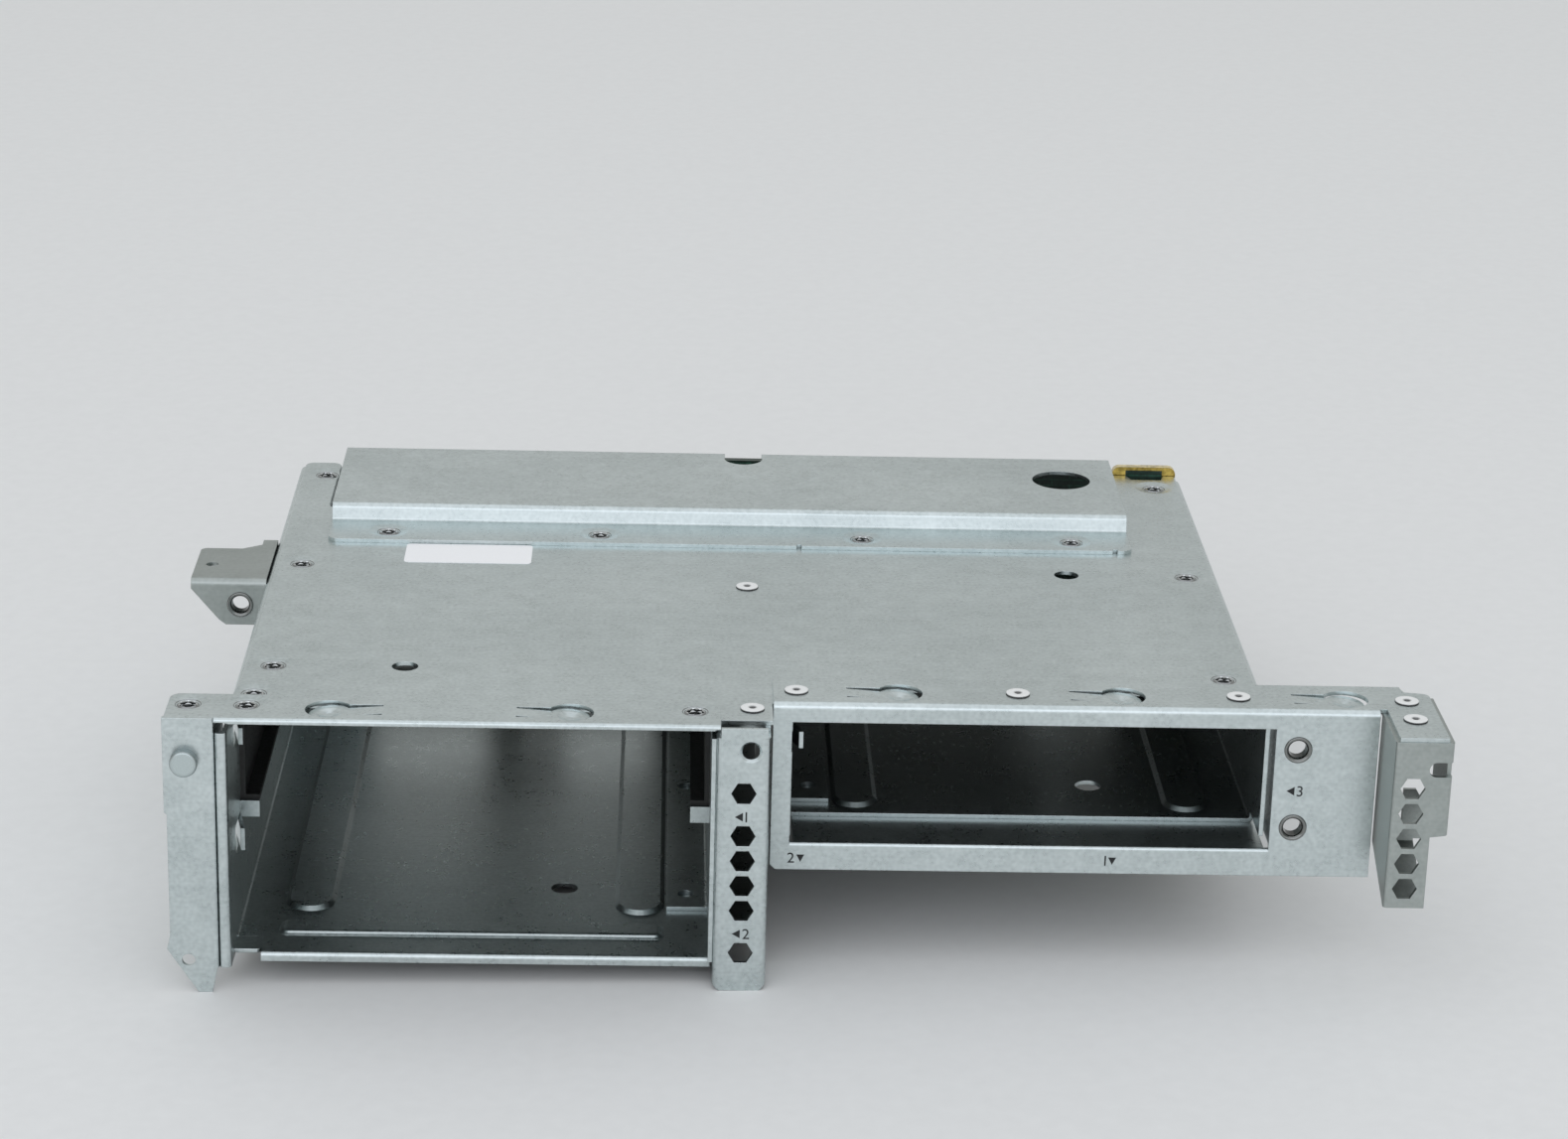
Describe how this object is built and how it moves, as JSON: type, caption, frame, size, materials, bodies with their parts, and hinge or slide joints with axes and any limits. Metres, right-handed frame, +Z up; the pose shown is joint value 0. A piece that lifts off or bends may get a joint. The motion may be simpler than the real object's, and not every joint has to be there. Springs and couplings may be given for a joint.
{
  "type": "hard drive cage",
  "caption": "Folded sheet cage that holds hard drives in a server: stacked bays beside a framed bay, a lid with a raised rear cover, perforated brackets and a backplane board.",
  "frame": {"origin": "middle of the bounding box's bottom face", "axes": "+X to the right seen from the front, along the longest extent; +Y from the open front to the board; +Z up"},
  "size_m": [0.2924, 0.2026, 0.0707],
  "materials": {
    "galvanised_sheet": "zinc-coated sheet with a fine grain",
    "dull_galvanised_sheet": "dull zinc-coated sheet",
    "black_rail_plastic": "matt black",
    "circuit_board": "dark green lacquered laminate with a gold corner",
    "socket_plastic": "black moulded plastic",
    "pale_socket_plastic": "pale moulded plastic",
    "plated_screw": "bright plated",
    "rivet_metal": "pale matt",
    "bushing_steel": "bright turned",
    "label_paper": "matt white"
  },
  "bodies": {
    "root": {"backplane_board": "circuit_board", "board_screws": "plated_screw", "bracket_rivets": "rivet_metal", "centre_channel": "galvanised_sheet", "centre_pillar": "galvanised_sheet", "cover_screws": "plated_screw", "data_connector": "socket_plastic", "drive_connector_1": "socket_plastic", "drive_connector_2": "socket_plastic", "drive_connector_3": "socket_plastic", "ear_bracket": "galvanised_sheet", "ear_bushing": "bushing_steel", "flange_stud": "bushing_steel", "frame_bushings": "bushing_steel", "frame_rivets": "rivet_metal", "front_strip": "galvanised_sheet", "label": "label_paper", "left_front_flange": "galvanised_sheet", "left_rail": "black_rail_plastic", "left_tray": "galvanised_sheet", "plate_rivets": "rivet_metal", "plate_screws": "plated_screw", "power_connector": "pale_socket_plastic", "rear_cover": "galvanised_sheet", "right_end_bracket": "dull_galvanised_sheet", "right_front_frame": "galvanised_sheet", "right_rail": "black_rail_plastic", "right_tray": "galvanised_sheet", "strip_screws": "plated_screw", "top_plate": "galvanised_sheet"}
  },
  "joints": []
}
